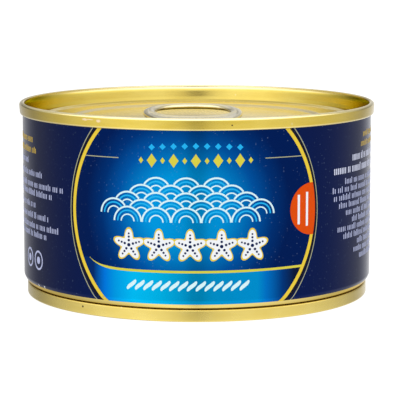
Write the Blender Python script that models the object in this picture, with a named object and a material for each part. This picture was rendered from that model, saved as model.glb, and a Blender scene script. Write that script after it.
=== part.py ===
"""A shut, easy-open tuna can: printed steel body, seamed lid with a ring pull, seamed bottom end.

Units are metres, +Z is up, and the origin is the middle of the circle that the can stands on.
Every round piece is a profile of (radius, height) points, turned about a vertical axis.
"""

import bmesh
import bpy
from math import cos, pi, radians, sin
from mathutils import Matrix, Vector

MM = 0.001
GAP = 0.3 * MM

# The whole can
CAN_HEIGHT = 46.5 * MM
LID_SEAM_RADIUS = 43.0 * MM
BODY_RADIUS = 42.2 * MM
SEAM_THICKNESS = 1.35 * MM
SEGMENTS = 72

# Upper double seam and lid
LID_SEAM_HEIGHT = 2.9 * MM
CHUCK_WALL_TAPER = 0.35 * MM
COUNTERSINK_DEPTH = 4.8 * MM
COUNTERSINK_RADIUS = 0.65 * MM
PANEL_DEPTH = 3.7 * MM
RIB_RADIUS = 37.5 * MM
RIB_HALF_WIDTH = 0.9 * MM
RIB_HEIGHT = 0.45 * MM
INNER_PANEL_RADIUS = 29.7 * MM
INNER_PANEL_STEP = 0.35 * MM
STEP_HALF_WIDTH = 0.55 * MM
LID_UNDERSIDE_DEPTH = 5.3 * MM
PLUG_CLEARANCE = 0.75 * MM
SEAM_LIP_RADIUS = 0.35 * MM
SHOULDER_RADIUS = 0.5 * MM

# Necked-in foot of the body, and the bottom end
FOOT_SEAM_RADIUS = 41.4 * MM
FOOT_SEAM_HEIGHT = 3.0 * MM
FOOT_FLAT = 0.45 * MM
NECK_TOP = 5.0 * MM
NECK_BEND = 0.4 * MM
NECK_FOOT_RADIUS = 40.95 * MM
FOOT_COUNTERSINK = 4.0 * MM
FOOT_PANEL_HEIGHT = 2.8 * MM
FOOT_RIB_RADIUS = 33.0 * MM
FOOT_TOP_HEIGHT = 4.8 * MM
FOOT_PLUG_RADIUS = 39.95 * MM
NECK_INSIDE_RADIUS = 40.3 * MM

# Ring pull. Its own y axis runs from the nose (-y) to the finger ring (+y).
RIVET_Y = -27.5 * MM
TAB_SWIVEL = radians(2.0)
RING_CENTRE_Y = -3.2 * MM
RING_RADIUS = 11.7 * MM
HOLE_HALF_WIDTH = 9.2 * MM
HOLE_FRONT_Y = -15.6 * MM
HOLE_BACK_Y = 5.9 * MM
NOSE_Y = -35.6 * MM
NOSE_HALF_WIDTH = 7.6 * MM
TAB_LIFT = 0.6 * MM
TAB_RIM_HEIGHT = 1.4 * MM
TAB_RIM_WIDTH = 2.4 * MM
TAB_WEB_HEIGHT = 0.6 * MM
RING_RAISE = 0.45 * MM
TAB_TURNS = 56

# Rivet, raised out of the lid's own metal
RIVET_SHANK_RADIUS = 2.1 * MM
RIVET_HEAD_RADIUS = 3.1 * MM
RIVET_HEAD_HEIGHT = 0.5 * MM
RIVET_ROOT_DEPTH = 0.3 * MM
RIVET_SEGMENTS = 24

GOLD_LACQUER = ((0.72, 0.56, 0.24), 0.3, 1.0)
PALE_LACQUER = ((0.74, 0.66, 0.50), 0.32, 1.0)
BLUE_PRINT = ((0.012, 0.035, 0.16), 0.25, 0.0)


def clear_scene():
    for thing in list(bpy.data.objects):
        bpy.data.objects.remove(thing)


def material(name, colour, roughness, metallic):
    made = bpy.data.materials.new(name)
    made.use_nodes = True
    shader = made.node_tree.nodes["Principled BSDF"]
    shader.inputs["Base Color"].default_value = (*colour, 1.0)
    shader.inputs["Roughness"].default_value = roughness
    shader.inputs["Metallic"].default_value = metallic
    return made


def new_object(name, mesh_data, finish):
    """An object around a bmesh, shaded smooth except at real corners."""
    mesh = bpy.data.meshes.new(name)
    mesh_data.to_mesh(mesh)
    mesh_data.free()
    mesh.shade_smooth()
    mesh.set_sharp_from_angle(angle=radians(35))
    mesh.materials.append(finish)
    made = bpy.data.objects.new(name, mesh)
    bpy.context.scene.collection.objects.link(made)
    return made


def arc(centre_r, centre_z, radius, start, end, steps):
    """Points on a circle in the (radius, height) plane, angles in degrees from the outward direction."""
    angles = [radians(start + (end - start) * i / steps) for i in range(steps + 1)]
    return [(centre_r + radius * cos(a), centre_z + radius * sin(a)) for a in angles]


def lathe(name, profile, finish):
    """The solid that a closed profile sweeps as it turns once about the Z axis."""
    made = bmesh.new()
    points = [made.verts.new((r, 0.0, z)) for r, z in profile]
    pairs = zip(points, points[1:] + points[:1])
    edges = [made.edges.new(p) for p in pairs if max(p[0].co.x, p[1].co.x) > 0]
    bmesh.ops.spin(made, geom=points + edges, axis=(0, 0, 1), cent=(0, 0, 0),
                   angle=2 * pi, steps=SEGMENTS, use_merge=True)
    bmesh.ops.remove_doubles(made, verts=made.verts, dist=1e-6)
    bmesh.ops.recalc_face_normals(made, faces=made.faces)
    return new_object(name, made, finish)


def rib(centre, half_width, base, height, steps=4):
    """A raised or sunk ring in a panel: half a cosine wave across its width, from outside to inside."""
    offsets = [half_width * (1 - 2 * i / steps) for i in range(steps + 1)]
    return [(centre + x, base + height * (1 + cos(pi * x / half_width)) / 2) for x in offsets]


def step(centre, half_width, outer, inner, steps=3):
    """An S-shaped step between two panel levels, from outside to inside."""
    shares = [i / steps for i in range(steps + 1)]
    return [(centre + half_width * (1 - 2 * s), outer + (inner - outer) * (1 - cos(pi * s)) / 2)
            for s in shares]


def can_body(finish):
    """The printed wall with its stacking neck, filled where the sealed contents are."""
    top = CAN_HEIGHT - LID_SEAM_HEIGHT - GAP
    core_top = CAN_HEIGHT - LID_UNDERSIDE_DEPTH - GAP
    core_bottom = FOOT_TOP_HEIGHT + GAP
    wall_inside = BODY_RADIUS - PLUG_CLEARANCE + GAP
    bottom = FOOT_SEAM_HEIGHT + GAP
    profile = [
        (0.0, core_bottom),
        (NECK_INSIDE_RADIUS, core_bottom),
        (NECK_INSIDE_RADIUS, bottom),
        (NECK_FOOT_RADIUS, bottom),
        (BODY_RADIUS - 0.5 * NECK_BEND, NECK_TOP - NECK_BEND),
        (BODY_RADIUS, NECK_TOP + NECK_BEND),
        (BODY_RADIUS, top),
        (wall_inside, top),
        (wall_inside, core_top),
        (0.0, core_top),
    ]
    return lathe("can_body", profile, finish)


def lid_profile():
    """The lid from its hidden underside, round the double seam, down the chuck wall and over the panel."""
    top = CAN_HEIGHT
    seam_low = top - LID_SEAM_HEIGHT
    half = SEAM_THICKNESS / 2
    crown = LID_SEAM_RADIUS - half
    lip = SEAM_LIP_RADIUS
    plug = BODY_RADIUS - PLUG_CLEARANCE
    underside = top - LID_UNDERSIDE_DEPTH
    wall_foot = LID_SEAM_RADIUS - SEAM_THICKNESS - CHUCK_WALL_TAPER
    sink = COUNTERSINK_RADIUS
    panel = top - PANEL_DEPTH
    inner = panel - INNER_PANEL_STEP
    shoulder = wall_foot - 2 * sink
    return [
        (0.0, underside),
        (plug, underside),
        (plug, seam_low),
        *arc(LID_SEAM_RADIUS - lip, seam_low + lip, lip, -90, 0, 2),
        *arc(crown, top - half, half, 0, 180, 6),
        (wall_foot, top - COUNTERSINK_DEPTH + sink),
        *arc(wall_foot - sink, top - COUNTERSINK_DEPTH + sink, sink, -45, -180, 3),
        (shoulder - 0.3 * SHOULDER_RADIUS, panel - 0.5 * SHOULDER_RADIUS),
        (shoulder - SHOULDER_RADIUS, panel),
        *rib(RIB_RADIUS, RIB_HALF_WIDTH, panel, RIB_HEIGHT),
        *step(INNER_PANEL_RADIUS, STEP_HALF_WIDTH, panel, inner),
        (0.0, inner),
    ]


def add_rivet(lid, inner_panel, head_base):
    """Fuses the rivet into the lid: a shank with a wider flattened head that holds the ring pull."""
    sunk = RIVET_ROOT_DEPTH
    profile = [
        (0.0, inner_panel - sunk),
        (RIVET_SHANK_RADIUS, inner_panel - sunk),
        (RIVET_SHANK_RADIUS, head_base),
        (RIVET_HEAD_RADIUS, head_base),
        (0.97 * RIVET_HEAD_RADIUS, head_base + 0.6 * RIVET_HEAD_HEIGHT),
        (0.6 * RIVET_HEAD_RADIUS, head_base + RIVET_HEAD_HEIGHT),
        (0.0, head_base + RIVET_HEAD_HEIGHT),
    ]
    turned = bmesh.new()
    points = [turned.verts.new((r, 0.0, z)) for r, z in profile]
    edges = [turned.edges.new(p) for p in zip(points, points[1:])]
    bmesh.ops.spin(turned, geom=points + edges, axis=(0, 0, 1), cent=(0, 0, 0),
                   angle=2 * pi, steps=RIVET_SEGMENTS, use_merge=True)
    bmesh.ops.remove_doubles(turned, verts=turned.verts, dist=1e-6)
    bmesh.ops.recalc_face_normals(turned, faces=turned.faces)
    bmesh.ops.translate(turned, verts=turned.verts, vec=(0, RIVET_Y, 0))
    rivet = new_object("rivet_form", turned, lid.data.materials[0])
    rivet.hide_render = True
    rivet.display_type = "WIRE"
    join = lid.modifiers.new("rivet", "BOOLEAN")
    join.operation = "UNION"
    join.solver = "EXACT"
    join.object = rivet


def bottom_end(finish):
    """The lower double seam with its recessed, ribbed panel, seen only from below."""
    half = SEAM_THICKNESS / 2
    inside = FOOT_SEAM_RADIUS - SEAM_THICKNESS
    sink = COUNTERSINK_RADIUS
    wall_top = inside - CHUCK_WALL_TAPER
    shoulder = wall_top - 2 * sink
    corner = half - FOOT_FLAT / 2
    lip = SEAM_LIP_RADIUS
    profile = [
        (0.0, FOOT_PANEL_HEIGHT),
        *reversed(rib(FOOT_RIB_RADIUS, RIB_HALF_WIDTH, FOOT_PANEL_HEIGHT, -RIB_HEIGHT)),
        (shoulder - SHOULDER_RADIUS, FOOT_PANEL_HEIGHT),
        *arc(shoulder + sink, FOOT_COUNTERSINK - sink, sink, 180, 45, 3),
        (wall_top, FOOT_COUNTERSINK - sink),
        *arc(inside + corner, corner, corner, 180, 270, 3),
        *arc(FOOT_SEAM_RADIUS - corner, corner, corner, -90, 0, 3),
        *arc(FOOT_SEAM_RADIUS - lip, FOOT_SEAM_HEIGHT - lip, lip, 0, 90, 2),
        (FOOT_PLUG_RADIUS, FOOT_SEAM_HEIGHT),
        (FOOT_PLUG_RADIUS, FOOT_TOP_HEIGHT),
        (0.0, FOOT_TOP_HEIGHT),
    ]
    return lathe("bottom_end", profile, finish)


def tab_outer(turn):
    """The ring pull's outline: a half circle round the finger ring, narrowing to a blunt nose."""
    x = sin(turn)
    y = cos(turn)
    if y >= 0:
        return Vector((RING_RADIUS * x, RING_CENTRE_Y + RING_RADIUS * y))
    length = RING_CENTRE_Y - NOSE_Y
    along = (-y) ** 0.85
    narrowing = 1 - (1 - NOSE_HALF_WIDTH / RING_RADIUS) * along
    width = RING_RADIUS * narrowing * max(0.0, 1 - along ** 5) ** 0.5
    return Vector((width if x >= 0 else -width, RING_CENTRE_Y - length * along))


def tab_hole(turn):
    """The finger hole: an oval a little longer than it is wide."""
    middle = (HOLE_FRONT_Y + HOLE_BACK_Y) / 2
    half_length = (HOLE_BACK_Y - HOLE_FRONT_Y) / 2
    power = 0.85
    x = abs(sin(turn)) ** power * (1 if sin(turn) >= 0 else -1)
    y = abs(cos(turn)) ** power * (1 if cos(turn) >= 0 else -1)
    return Vector((HOLE_HALF_WIDTH * x, middle + half_length * y))


def tab_section(width):
    """Across the tab from hole to outline: a curled rim at each edge and a thin web between.

    Each entry is (distance from the hole's edge, height above the tab's underside).
    """
    rim = min(TAB_RIM_WIDTH, width / 2)
    tall = TAB_RIM_HEIGHT
    web = TAB_WEB_HEIGHT if width > 2 * TAB_RIM_WIDTH else tall
    return [
        (0.25 * rim, 0.0), (0.0, 0.3 * tall), (0.0, 0.7 * tall), (0.3 * rim, tall), (0.75 * rim, tall),
        (rim, web), (width - rim, web),
        (width - 0.75 * rim, tall), (width - 0.3 * rim, tall), (width, 0.7 * tall), (width, 0.3 * tall),
        (width - 0.25 * rim, 0.0),
    ]


def ring_raise(y):
    """How far the finger ring is bent up, growing from the middle of the tab to the ring's end."""
    share = (y - HOLE_FRONT_Y) / (RING_CENTRE_Y + RING_RADIUS - HOLE_FRONT_Y)
    share = min(1.0, max(0.0, share))
    return RING_RAISE * share * share * (3 - 2 * share)


def ring_pull(finish, tab_bottom):
    """The tab: a section swept round the finger hole, then drilled for its rivet."""
    made = bmesh.new()
    loops = []
    for i in range(TAB_TURNS):
        turn = 2 * pi * i / TAB_TURNS
        inner = tab_hole(turn)
        outer = tab_outer(turn)
        across = outer - inner
        loop = []
        for distance, height in tab_section(across.length):
            place = inner + across.normalized() * distance
            loop.append(made.verts.new((place.x, place.y, tab_bottom + height + ring_raise(place.y))))
        loops.append(loop)
    for this, after in zip(loops, loops[1:] + loops[:1]):
        for a, b, c, d in zip(this, this[1:] + this[:1], after[1:] + after[:1], after):
            made.faces.new((a, b, c, d))
    bmesh.ops.recalc_face_normals(made, faces=made.faces)
    swivel = (Matrix.Translation((0, RIVET_Y, 0)) @ Matrix.Rotation(TAB_SWIVEL, 4, "Z")
              @ Matrix.Translation((0, -RIVET_Y, 0)))
    bmesh.ops.transform(made, matrix=swivel, verts=made.verts)
    tab = new_object("ring_pull", made, finish)

    drill_form = bmesh.new()
    bmesh.ops.create_cone(drill_form, cap_ends=True, segments=RIVET_SEGMENTS, depth=4 * TAB_RIM_HEIGHT,
                          radius1=RIVET_SHANK_RADIUS + GAP, radius2=RIVET_SHANK_RADIUS + GAP)
    bmesh.ops.translate(drill_form, verts=drill_form.verts, vec=(0, RIVET_Y, tab_bottom))
    drill = new_object("rivet_drill", drill_form, finish)
    drill.hide_render = True
    drill.display_type = "WIRE"
    cut = tab.modifiers.new("rivet hole", "BOOLEAN")
    cut.operation = "DIFFERENCE"
    cut.solver = "EXACT"
    cut.object = drill
    return tab


def main():
    clear_scene()
    gold = material("gold_lacquer", *GOLD_LACQUER)
    pale = material("pale_lacquer", *PALE_LACQUER)
    blue = material("blue_print", *BLUE_PRINT)

    inner_panel = CAN_HEIGHT - PANEL_DEPTH - INNER_PANEL_STEP
    tab_bottom = inner_panel + TAB_LIFT
    rivet_head = tab_bottom + TAB_WEB_HEIGHT + GAP

    can_body(blue)
    lid = lathe("lid", lid_profile(), gold)
    add_rivet(lid, inner_panel, rivet_head)
    bottom_end(gold)
    ring_pull(pale, tab_bottom)


main()
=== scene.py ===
# %% [markdown]
# A shut tuna can, dressed round its CAD model.
#
# The can is printed tinplate: a blue lithographed body, necked in at the foot so that cans stack,
# a gold-lacquered lid with a ring pull, and a matching bottom end. Both ends are double-seamed on.
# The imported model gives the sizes. Every piece here is a fine surface worked out with numpy in
# millimetres, and turned into metres when its mesh is made.

# %% Load the frame
import math

import bmesh
import bpy
import numpy as np
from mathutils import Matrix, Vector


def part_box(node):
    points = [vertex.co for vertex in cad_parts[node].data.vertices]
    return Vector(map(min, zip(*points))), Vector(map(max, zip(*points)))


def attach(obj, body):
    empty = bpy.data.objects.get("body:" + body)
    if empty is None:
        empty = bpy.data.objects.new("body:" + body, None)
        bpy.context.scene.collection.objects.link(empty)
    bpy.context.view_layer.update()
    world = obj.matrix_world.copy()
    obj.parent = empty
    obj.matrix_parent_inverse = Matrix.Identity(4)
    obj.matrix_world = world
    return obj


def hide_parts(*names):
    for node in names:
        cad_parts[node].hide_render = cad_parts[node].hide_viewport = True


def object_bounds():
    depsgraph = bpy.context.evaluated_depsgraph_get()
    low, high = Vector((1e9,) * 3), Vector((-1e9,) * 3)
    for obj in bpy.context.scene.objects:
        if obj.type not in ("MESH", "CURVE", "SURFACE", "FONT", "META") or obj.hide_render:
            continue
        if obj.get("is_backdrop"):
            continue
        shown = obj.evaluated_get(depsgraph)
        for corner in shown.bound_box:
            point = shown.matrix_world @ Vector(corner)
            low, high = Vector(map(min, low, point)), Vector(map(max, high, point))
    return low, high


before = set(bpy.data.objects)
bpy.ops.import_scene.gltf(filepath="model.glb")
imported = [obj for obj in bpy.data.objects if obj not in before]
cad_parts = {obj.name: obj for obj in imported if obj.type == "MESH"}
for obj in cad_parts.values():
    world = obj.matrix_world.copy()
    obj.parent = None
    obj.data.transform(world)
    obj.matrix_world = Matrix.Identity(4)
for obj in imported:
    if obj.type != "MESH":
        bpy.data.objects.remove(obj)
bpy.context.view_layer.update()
MM = 0.001
can_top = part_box("lid")[1].z / MM
lid_seam_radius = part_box("lid")[1].x / MM
body_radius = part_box("can_body")[1].x / MM
foot_seam_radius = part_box("bottom_end")[1].x / MM
print("can", round(can_top, 2), "mm tall,", round(2 * lid_seam_radius, 2), "mm over the upper seam")

# %% [markdown]
# Everything on the can is either turned about its axis, wrapped round its wall, or swept along a path.
# So a few helpers are enough: one turns a profile, one carries a closed section along a path, and one
# fills an outline with rings that shrink to its middle. Each one works on whole arrays, and the faces
# of a grid come from one rule: a corner, the next along, the next across, and both.

# %% Grid surfaces and meshes
def grid_faces(rows, columns, wrap_rows=False, wrap_columns=False):
    """Quads of a rows by columns grid of points: (i, j), (i, j+1), (i+1, j+1), (i+1, j)."""
    i = np.arange(rows if wrap_rows else rows - 1)
    j = np.arange(columns if wrap_columns else columns - 1)
    i, j = np.meshgrid(i, j, indexing="ij")
    after_i = (i + 1) % rows
    after_j = (j + 1) % columns
    corners = (i * columns + j, i * columns + after_j, after_i * columns + after_j, after_i * columns + j)
    return np.stack(corners, -1).reshape(-1, 4)


def mesh_object(name, points, faces, finish, sharp_degrees=40):
    """A closed mesh from points in millimetres: doubles at poles and seams merged, faces pointing out."""
    mesh = bpy.data.meshes.new(name)
    mesh.from_pydata((points * MM).tolist(), [], faces.tolist())
    work = bmesh.new()
    work.from_mesh(mesh)
    bmesh.ops.remove_doubles(work, verts=work.verts, dist=1e-7)
    bmesh.ops.dissolve_degenerate(work, edges=work.edges, dist=1e-8)
    bmesh.ops.recalc_face_normals(work, faces=work.faces)
    work.to_mesh(mesh)
    work.free()
    mesh.shade_smooth()
    mesh.set_sharp_from_angle(angle=math.radians(sharp_degrees))
    mesh.materials.append(finish)
    piece = bpy.data.objects.new(name, mesh)
    bpy.context.scene.collection.objects.link(piece)
    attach(piece, "root")
    print(name, len(mesh.polygons), "faces")
    return piece


def arc(centre_r, centre_z, radius, start, end, steps):
    """Points on a circle, (radius, height) or (along, up), with angles in degrees from straight outwards."""
    angles = np.radians(np.linspace(start, end, steps + 1))
    return np.stack([centre_r + radius * np.cos(angles), centre_z + radius * np.sin(angles)], 1)


def joined(*parts):
    """Profile pieces, arrays or single (radius, height) points, as one array."""
    return np.concatenate([np.atleast_2d(part) for part in parts])


def turned(name, profile, finish, turns=288, closed=False, centre=(0.0, 0.0)):
    """The surface r(t), z(t) turned once about a vertical axis: x = r sin(a), y = -r cos(a)."""
    angle = np.linspace(0, 2 * np.pi, turns, endpoint=False)[:, None]
    r, z = profile[:, 0][None], profile[:, 1][None]
    points = np.stack([centre[0] + r * np.sin(angle), centre[1] - r * np.cos(angle), z + 0 * angle], -1)
    faces = grid_faces(turns, len(profile), wrap_rows=True, wrap_columns=closed)
    return mesh_object(name, points.reshape(-1, 3), faces, finish)


# %% [markdown]
# A finish on metal is mostly about what breaks up its reflection. Drawn tinplate has faint rings left by
# the tools, lacquer lies a little unevenly over it, and handling leaves specks. These effects are shader
# node groups, so that every metal and every ink can use them with its own values.

# %% Shader helpers
def new_group(name, inputs, outputs):
    """An empty shader node group; each input is (name, socket type, default or None)."""
    group = bpy.data.node_groups.new(name, "ShaderNodeTree")
    for label, kind, default in inputs:
        socket = group.interface.new_socket(name=label, in_out="INPUT", socket_type="NodeSocket" + kind)
        if default is not None:
            socket.default_value = default
    for label, kind in outputs:
        group.interface.new_socket(name=label, in_out="OUTPUT", socket_type="NodeSocket" + kind)
    return group, group.nodes.new("NodeGroupInput"), group.nodes.new("NodeGroupOutput")


def fill(made, inputs):
    """Give each named input of a node a value, or a link from another socket."""
    for key, value in inputs.items():
        if isinstance(value, bpy.types.NodeSocket):
            made.id_data.links.new(value, made.inputs[key])
        else:
            made.inputs[key].default_value = value


def node(tree, kind, inputs=None, **values):
    """One shader node with its properties set, and its inputs filled from values or other sockets."""
    made = tree.nodes.new("ShaderNode" + kind)
    for key, value in values.items():
        setattr(made, key, value)
    fill(made, inputs or {})
    return made


def maths(tree, operation, *values, clamp=False):
    """One Math node; each value is a number or a socket. Gives its output socket."""
    return node(tree, "Math", dict(enumerate(values)), operation=operation, use_clamp=clamp).outputs[0]


def folded(operation):
    """A short form of one Math operation, which takes two values or more and works from the left."""
    def work(tree, first, *others, clamp=False):
        for value in others:
            first = maths(tree, operation, first, value, clamp=clamp)
        return first
    return work


times, plus, minus = folded("MULTIPLY"), folded("ADD"), folded("SUBTRACT")


def eased(tree, value, start, end, first, last, kind="SMOOTHSTEP"):
    """From first to last as a socket goes from start to end: smoothly, or evenly where kind is LINEAR."""
    limits = {0: value, 1: start, 2: end, 3: first, 4: last}
    return node(tree, "MapRange", limits, interpolation_type=kind).outputs[0]


def noise(tree, vector, scale, detail):
    """Noise from 0 to 1, read at a vector."""
    return node(tree, "TexNoise", {"Vector": vector, "Scale": scale, "Detail": detail}).outputs["Fac"]


def ramp(tree, value, stops):
    """A colour ramp with the given (position, colour) stops, in rising order, read at a socket."""
    made = node(tree, "ValToRGB", {0: value})
    elements = made.color_ramp.elements
    for extra in range(len(stops) - 2):
        elements.new(0.5)
    for element, (position, colour) in zip(elements, stops):
        element.position = position
        element.color = (*colour, 1.0)
    return made.outputs[0]


def blend(tree, share, *ends):
    """A colour Mix node between two colours or sockets."""
    first, second = (end if isinstance(end, bpy.types.NodeSocket) else (*end, 1.0) for end in ends)
    return node(tree, "Mix", {0: share, 6: first, 7: second}, data_type="RGBA").outputs[2]


def new_finish(name):
    """A new material, with its node tree and its Principled shader."""
    made = bpy.data.materials.new(name)
    made.use_nodes = True
    return made, made.node_tree, made.node_tree.nodes["Principled BSDF"]


def srgb(red, green, blue):
    """A colour read off the photograph, 0 to 255, as Blender's linear numbers."""
    share = np.array([red, green, blue]) / 255
    return tuple(float(c) for c in np.where(share < 0.04045, share / 12.92, ((share + 0.055) / 1.055) ** 2.4))


def wall_coordinates(tree):
    """Angle round the can from its front (radians, to the right), radius and height in metres."""
    place = node(tree, "SeparateXYZ", {0: node(tree, "TexCoord").outputs["Object"]})
    x, y, z = place.outputs
    angle = maths(tree, "ARCTAN2", x, times(tree, y, -1.0))
    radius = maths(tree, "SQRT", plus(tree, times(tree, x, x), times(tree, y, y)))
    return angle, radius, z


# %% [markdown]
# Turned rings: when an end is stamped and its seam is rolled, the tools leave faint circular lines. They
# only depend on the radius and the height, with a slow change along the turn, so noise is read at
# (angle, radius, height) stretched far along the angle. The ends of the angle meet at the back, so the
# angle goes in as a point on a circle instead of a number.

# %% Group: rolling rings
def make_rolling_rings():
    """Fine rings for a bump (Height) and broad ones for the lacquer's depth (Shade)."""
    group, given, result = new_group(
        "rolling_rings",
        [("Fineness", "Float", 9000.0), ("Streak", "Float", 6.0)],
        [("Height", "Float"), ("Shade", "Float")],
    )
    angle, radius, z = wall_coordinates(group)
    streak = given.outputs["Streak"]
    cosine, sine = (times(group, maths(group, kind, angle), streak) for kind in ("COSINE", "SINE"))
    across = times(group, plus(group, radius, z), given.outputs["Fineness"])
    for label, share, detail in (("Height", 1.0, 2.0), ("Shade", 0.12, 1.0)):
        place = node(group, "CombineXYZ", {0: cosine, 1: sine, 2: times(group, across, share)}).outputs[0]
        fill(result, {label: noise(group, place, 1.0, detail)})
    return group


# %% [markdown]
# Specks: the photograph shows fine dust and pinholes over the print and the seam. A Voronoi texture
# gives each cell a random colour and a distance to its middle; only cells whose random value is high
# enough get a small round dot, so the specks are sparse and of uneven size.

# %% Group: specks
def make_specks():
    """Sparse round dots of uneven size and strength, as a mask."""
    group, given, result = new_group(
        "specks",
        [("Scale", "Float", 900.0), ("Amount", "Float", 0.1), ("Size", "Float", 0.25)],
        [("Mask", "Float")],
    )
    place = node(group, "TexCoord").outputs["Object"]
    cells = node(group, "TexVoronoi", {"Vector": place, "Scale": given.outputs["Scale"], "Randomness": 1.0})
    draw = node(group, "SeparateColor", {0: cells.outputs["Color"]})
    chosen = maths(group, "LESS_THAN", draw.outputs[0], given.outputs["Amount"])
    reach = times(group, given.outputs["Size"], plus(group, draw.outputs[1], 0.3))
    near = minus(group, 1.0, maths(group, "DIVIDE", cells.outputs["Distance"], reach), clamp=True)
    soft = maths(group, "SMOOTH_MIN", times(group, near, 2.5), 1.0, 0.2, clamp=True)
    strength = plus(group, draw.outputs[2], 0.2, clamp=True)
    fill(result, {"Mask": times(group, chosen, soft, strength)})
    return group


rolling_rings = make_rolling_rings()
specks = make_specks()
print("shader groups", rolling_rings.name, specks.name)


# %% [markdown]
# Gold lacquer is a clear yellow varnish baked on bright tinplate. The metal itself reflects, and the
# varnish tints it, so the shader is a metal with a yellow base colour. Where the lacquer lies thicker
# it is a deeper yellow. On the crown of the seam and its rolled lower edge a pale colour is painted in
# as a highlight, and the ring pull's underside gets a darker colour as painted shade. Masks for
# such places are worked out from a point's angle, radius and height. Scuffs and pinholes are placed spots.

# %% Material: lacquered metal
SEAM_HEIGHT = 2.9
SEAM_CROWN_INSET, SEAM_REACH = 0.67, 2.2
COAT_WEIGHT = 0.5
WHITE = (1.0, 1.0, 1.0)
WALL_EDGE_TINT = srgb(214, 209, 88)
SCUFF_COLOUR = srgb(232, 206, 160)
PINHOLE_COLOUR = srgb(60, 45, 10)


def spot_mask(tree, place, centre, size, softness=0.5):
    """1 inside an ellipsoid about a point, in millimetres, falling to 0 over its rim; noise frays it."""
    fray = times(tree, minus(tree, noise(tree, place, 2600.0, 3.0), 0.5), softness)
    for operation, vector in (("SUBTRACT", centre), ("DIVIDE", size)):
        moved = node(tree, "VectorMath", {0: place, 1: tuple(c * MM for c in vector)}, operation=operation)
        place = moved.outputs[0]
    distance = node(tree, "VectorMath", {0: place}, operation="LENGTH").outputs["Value"]
    ragged = plus(tree, distance, fray)
    return minus(tree, 1.0, times(tree, minus(tree, ragged, 0.7), 2.5), clamp=True)


def seam_masks(tree):
    """Two masks on the lid seam. The first is where a pale colour is painted in as a highlight: 1 on the
    crown, less at the sides than in front and behind, gone 0.6 mm down outside and 0.8 to 1.2 mm down
    inside, and a half share on the rolled lower edge. The second is 1 on the inner wall, from 0.1 to 0.5 mm
    below its top."""
    angle, radius, z = wall_coordinates(tree)
    facing = maths(tree, "COSINE", angle)
    depth = minus(tree, can_top * MM, z)
    outer = maths(tree, "GREATER_THAN", radius, (lid_seam_radius - SEAM_CROWN_INSET) * MM)
    inner = minus(tree, 1.0, outer)
    near_seam = maths(tree, "GREATER_THAN", radius, (lid_seam_radius - SEAM_REACH) * MM)
    inner_reach = plus(tree, 0.8 * MM, maths(tree, "MAXIMUM", times(tree, facing, -0.4 * MM), 0.0))
    reach = plus(tree, times(tree, outer, 0.6 * MM), times(tree, inner_reach, inner))
    faded = eased(tree, maths(tree, "DIVIDE", depth, reach), 0.5, 1.0, 1.0, 0.0)
    painted_highlight = times(tree, maths(tree, "MAXIMUM", faded, times(tree, inner, 0.13)), near_seam)
    least = times(tree, outer, 0.3)
    painted_highlight = times(tree, painted_highlight, plus(tree, least, times(tree, facing, facing, minus(tree, 1.0, least))))
    rolled = eased(tree, depth, (SEAM_HEIGHT - 0.55) * MM, (SEAM_HEIGHT - 0.25) * MM, 0.0, 0.5, "LINEAR")
    painted_highlight = maths(tree, "MAXIMUM", painted_highlight, times(tree, rolled, outer))
    return painted_highlight, times(tree, near_seam, inner, eased(tree, depth, 0.1 * MM, 0.5 * MM, 0.0, 1.0, "LINEAR"))


def dusted(tree, colour, dust, strength, scale, amount, size):
    """A colour with specks of dust over it."""
    dots = node(tree, "Group", {"Scale": scale, "Amount": amount, "Size": size}, node_tree=specks).outputs[0]
    return blend(tree, times(tree, dots, strength), colour, dust)


def lacquered_metal(name, thin, thick, roughness, ring_bump,
                    scuffs=(), pinholes=(), crown=None, underside_shade=None):
    """A lacquered metal between two colours, with rolling rings, uneven lacquer, scuffs and pinholes, and
    where asked a pale painted highlight on the seam's crown and a darker painted shade on faces turned down.
    """
    made, tree, shader = new_finish(name)
    coordinates = node(tree, "TexCoord").outputs
    place = coordinates["Object"]
    rings = node(tree, "Group", node_tree=rolling_rings).outputs
    mottle = noise(tree, place, 140.0, 3.0)
    depth = plus(tree, times(tree, mottle, 0.6), times(tree, rings["Shade"], 0.4))
    colour = blend(tree, times(tree, minus(tree, depth, 0.3), 2.5, clamp=True), thin, thick)
    fill(shader, {"Metallic": 1.0, "Coat Weight": COAT_WEIGHT, "Coat Roughness": 0.12})
    # Painted highlight: the pale crown colour is laid over the seam's crown and its rolled lower edge.
    if crown:
        painted_highlight, inner_wall = seam_masks(tree)
        colour = blend(tree, painted_highlight, colour, crown)
        fill(shader, {"Coat Weight": times(tree, minus(tree, 1.0, inner_wall), COAT_WEIGHT),
                      "Specular Tint": blend(tree, inner_wall, WHITE, WALL_EDGE_TINT)})
    # Painted shade: faces turned downward, such as the ring pull's underside, get a darker colour.
    if underside_shade:
        upward = node(tree, "SeparateXYZ", {0: coordinates["Normal"]}).outputs[2]
        colour = blend(tree, eased(tree, upward, 0.1, -0.4, 0.0, 1.0), colour, underside_shade)
    if scuffs:
        rubbed = 0.0
        for centre, size in scuffs:
            rubbed = maths(tree, "MAXIMUM", rubbed, spot_mask(tree, place, centre, size))
        colour = blend(tree, rubbed, colour, SCUFF_COLOUR)
        fill(shader, {"Metallic": minus(tree, 1.0, times(tree, rubbed, 0.5))})
    for centre, size in pinholes:
        colour = blend(tree, spot_mask(tree, place, centre, size, 0.2), colour, PINHOLE_COLOUR)
    bump = node(tree, "Bump", {"Strength": ring_bump, "Distance": 0.00002, "Height": rings["Height"]})
    fill(shader, {
        "Base Color": dusted(tree, colour, srgb(250, 245, 225), 0.35, 700.0, 0.06, 0.2),
        "Roughness": plus(tree, roughness, times(tree, minus(tree, mottle, 0.5), 0.12)),
        "Normal": bump.outputs[0],
    })
    return made


# The crown colour on the gold lacquer is a painted highlight.
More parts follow.
